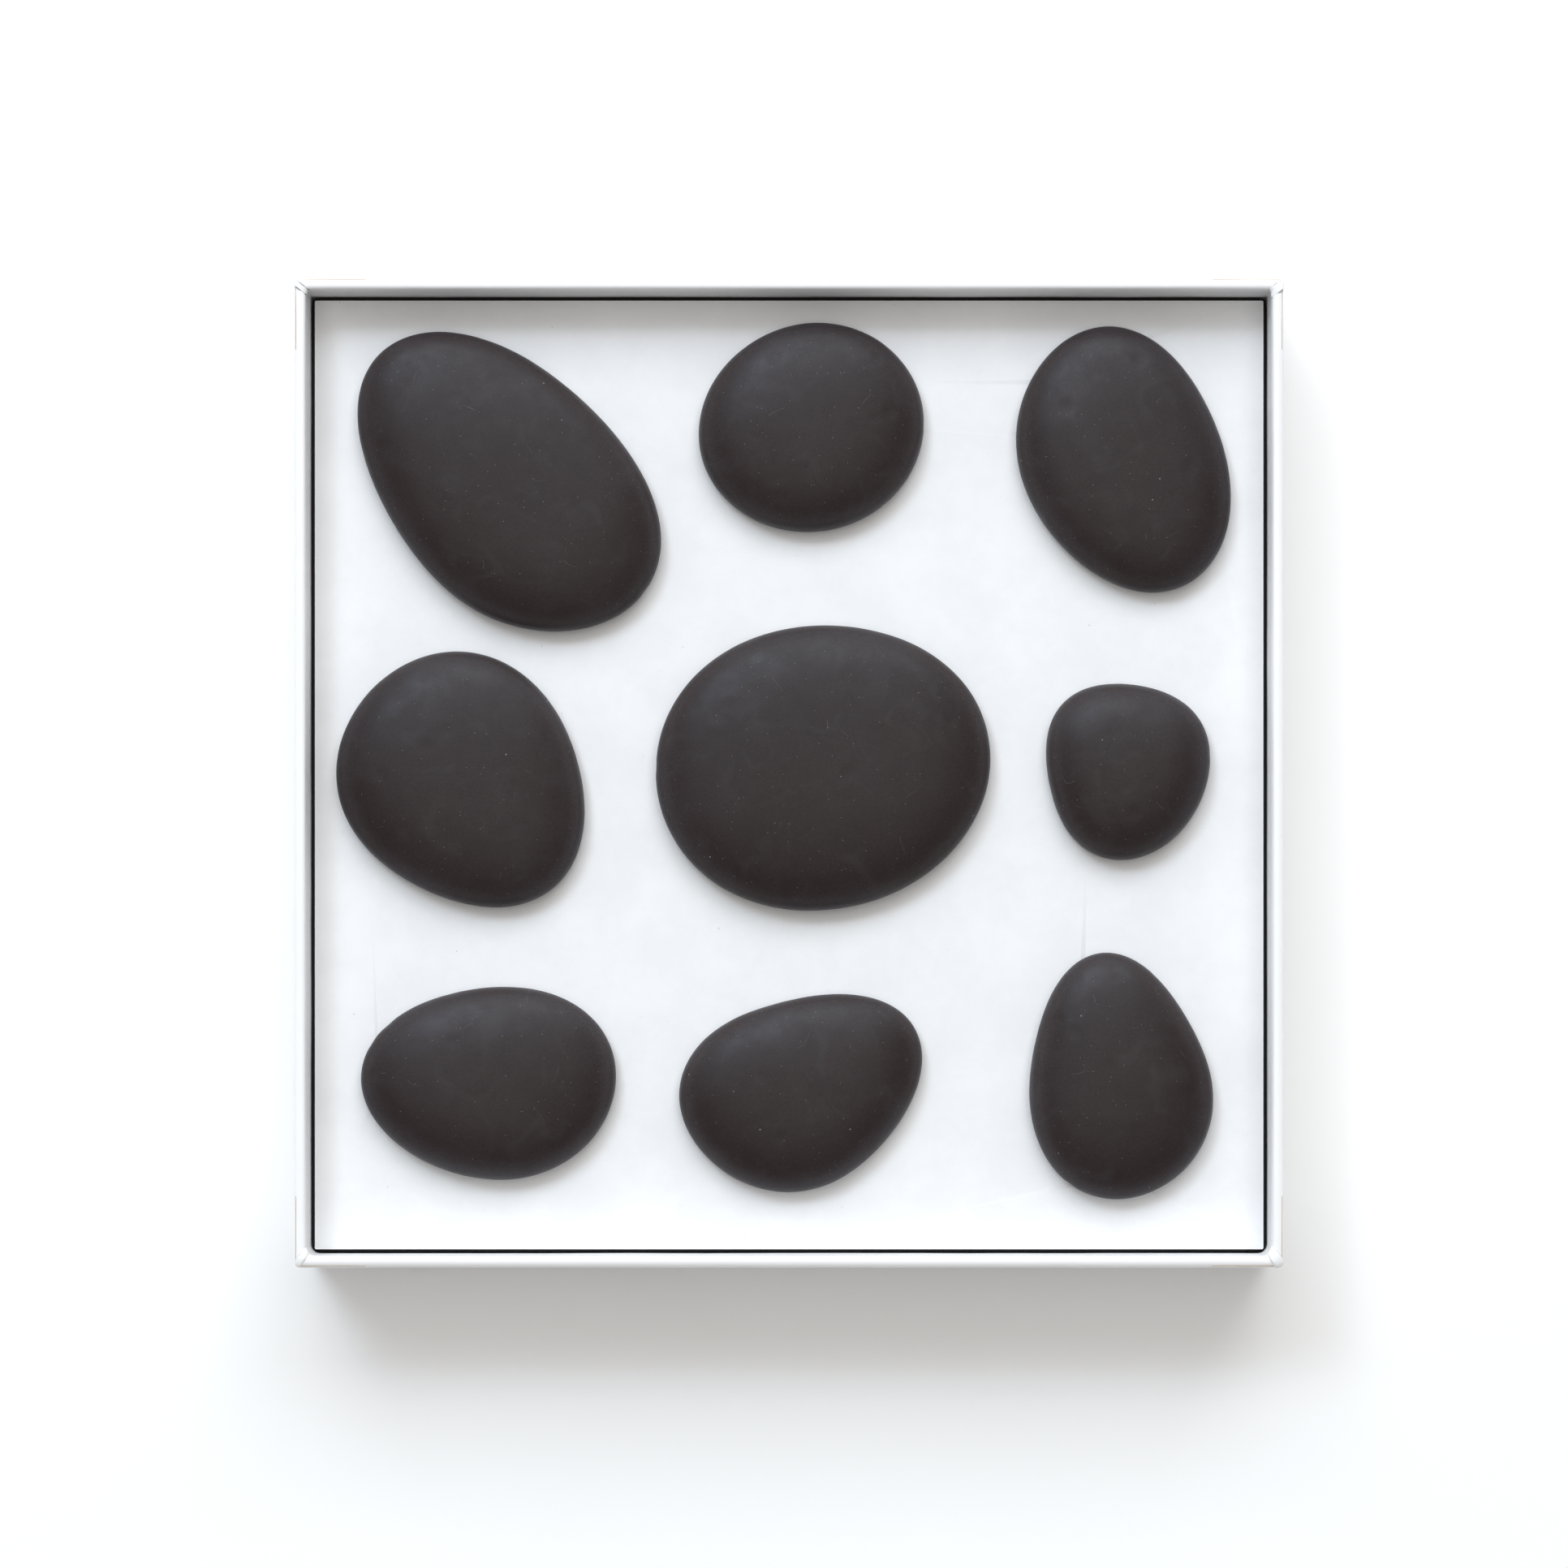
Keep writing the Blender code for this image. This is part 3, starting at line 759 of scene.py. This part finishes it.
def seat_cutter():
    """All nine stones grown by the seat clearance, to cut the seats with."""
    grown = bmesh.new()
    for name in STONES:
        blank = new_piece("blank", blank_of("stone_" + name), None)
        smooth = blank.modifiers.new("smooth", "SUBSURF")
        smooth.levels = smooth.render_levels = 2
        grow = blank.modifiers.new("clearance", "DISPLACE")
        grow.strength = SEAT_CLEARANCE
        grow.mid_level = 0.0
        settled(blank)
        grown.from_mesh(blank.data)
        bpy.data.objects.remove(blank, do_unlink=True)
    return new_piece("seat_cutter", mesh_of("seat_cutter", grown), None)


def split_flats(mesh):
    """Triangles in place of the many-sided faces round the seats."""
    shape = bmesh.new()
    shape.from_mesh(mesh)
    bmesh.ops.triangulate(shape, faces=[face for face in shape.faces if len(face.verts) > 4])
    shape.to_mesh(mesh)
    shape.free()


def cut_and_soften(piece, cutter, edge, clamp):
    """Cut the seats in a slab and soften its cut edges."""
    if cutter:
        cut = piece.modifiers.new("seats", "BOOLEAN")
        cut.operation = "DIFFERENCE"
        cut.solver = "EXACT"
        cut.object = cutter
        weld = piece.modifiers.new("weld", "WELD")
        weld.merge_threshold = CUT_WELD
    soften = piece.modifiers.new("soft_edge", "BEVEL")
    soften.use_clamp_overlap = clamp
    soften.width = edge
    soften.segments = 2
    soften.limit_method = "ANGLE"
    soften.angle_limit = math.radians(35)
    levels = [vert.co.z for vert in piece.data.vertices]
    settled(piece)
    split_flats(piece.data)
    for vert in piece.data.vertices:
        vert.co.z = min(max(vert.co.z, min(levels)), max(levels))
    piece.data.shade_smooth()
    piece.data.set_sharp_from_angle(angle=math.radians(40))
    for face in piece.data.polygons:
        if abs(face.normal.z) > 0.9999:
            face.use_smooth = False
    return piece


def make_insert(foam, card):
    """Foam block, die-cut seat layer and the white facing card."""
    cutter = seat_cutter()
    for node, name, corner, edge, finish, slot in (
            ("foam_base_layer", "foam_block", FOAM_CORNER, FOAM_EDGE, foam, "black_foam"),
            ("foam_seat_layer", "foam_seats", FOAM_CORNER, FOAM_EDGE, foam, "black_foam"),
            ("facing_card", "seat_card", CARD_CORNER, CARD_EDGE, card, "white_card")):
        low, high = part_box(node)
        piece = slab(name, high[0], low[2], high[2], corner, finish)
        cut_and_soften(piece, cutter if node != "foam_base_layer" else None, edge, slot == "black_foam")
        belongs(piece, "insert", slot, node)
    bpy.data.objects.remove(cutter, do_unlink=True)


def make_floor(finish):
    """The table top, far wider than the box."""
    shape = bmesh.new()
    bmesh.ops.create_grid(shape, x_segments=2, y_segments=2, size=TABLE_HALF)
    bmesh.ops.translate(shape, verts=shape.verts, vec=(0, 0, -TABLE_DROP))
    floor = new_piece("table_top", mesh_of("table_top", shape), finish)


# Light and view

def soft_panel(name, panel):
    """A far soft light that faces the box; its glow is the brightness of its face."""
    light = bpy.data.lights.new(name, "AREA")
    light.shape = "RECTANGLE"
    light.size = 2 * LIGHT_DISTANCE * math.tan(math.radians(panel.half_width))
    light.size_y = 2 * LIGHT_DISTANCE * math.tan(math.radians(panel.half_height))
    light.energy = panel.glow * math.pi * light.size * light.size_y
    light.color = panel.colour
    turn, tilt = math.radians(panel.bearing), math.radians(panel.elevation)
    towards = Vector((math.sin(turn) * math.cos(tilt), math.cos(turn) * math.cos(tilt), math.sin(tilt)))
    lamp = bpy.data.objects.new(name, light)
    lamp.location = towards * LIGHT_DISTANCE
    lamp.rotation_euler = towards.to_track_quat("Z", "Y").to_euler()
    bpy.context.scene.collection.objects.link(lamp)


def make_light():
    """A window beyond the back, a small blue skylight back left, a warm ceiling, and a pale horizon."""
    for name, panel in PANELS.items():
        soft_panel(name, panel)
    world = bpy.data.worlds.new("pale_room")
    world.use_nodes = True
    nodes, links = world.node_tree.nodes, world.node_tree.links
    split = nodes.new("ShaderNodeSeparateXYZ")
    links.new(nodes.new("ShaderNodeTexCoord").outputs["Generated"], split.inputs[0])
    spans = []
    for side, values in ROOM_GLOW.items():
        span = nodes.new("ShaderNodeMapRange")
        span.interpolation_type = "SMOOTHSTEP"
        for socket, value in zip(("From Min", "From Max", "To Min", "To Max"), values):
            span.inputs[socket].default_value = value
        links.new(split.outputs[side], span.inputs["Value"])
        spans.append(span.outputs["Result"])
    both = nodes.new("ShaderNodeMath")
    both.operation = "MULTIPLY"
    links.new(spans[0], both.inputs[0])
    links.new(spans[1], both.inputs[1])
    links.new(both.outputs[0], nodes["Background"].inputs["Strength"])
    nodes["Background"].inputs["Color"].default_value = ROOM_COLOUR
    bpy.context.scene.world = world


def make_camera():
    """Straight down from a little in front of the box, framed by shifting the lens."""
    camera = bpy.data.cameras.new("overhead")
    camera.lens = CAMERA_LENS
    camera.sensor_width = 36
    camera.shift_x, camera.shift_y = CAMERA_SHIFT
    camera.clip_start = 0.05
    camera.clip_end = 20
    viewer = bpy.data.objects.new("overhead", camera)
    viewer.location = CAMERA_PLACE
    viewer.rotation_euler = Euler((0, 0, 0))
    bpy.context.scene.collection.objects.link(viewer)
    bpy.context.scene.camera = viewer
    bpy.context.scene.view_settings.view_transform = "Standard"


make_camera()
make_light()
make_floor(floor_finish())

wrap_paper = wrap_finish()
make_wrap(wrap_paper)
make_corner_folds(wrap_paper)
make_boards(board_finish())
make_corner_tapes(tape_finish())
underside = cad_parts["base_paper"]
underside.data.materials.clear()
underside.data.materials.append(wrap_paper)

make_insert(foam_finish(), card_finish(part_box("facing_card")[1][0]))

basalt = basalt_finish()
stone_tree = tumbled_stone_tree()
for count, stone_name in enumerate(STONES):
    make_stone(stone_name, count, stone_tree, basalt)
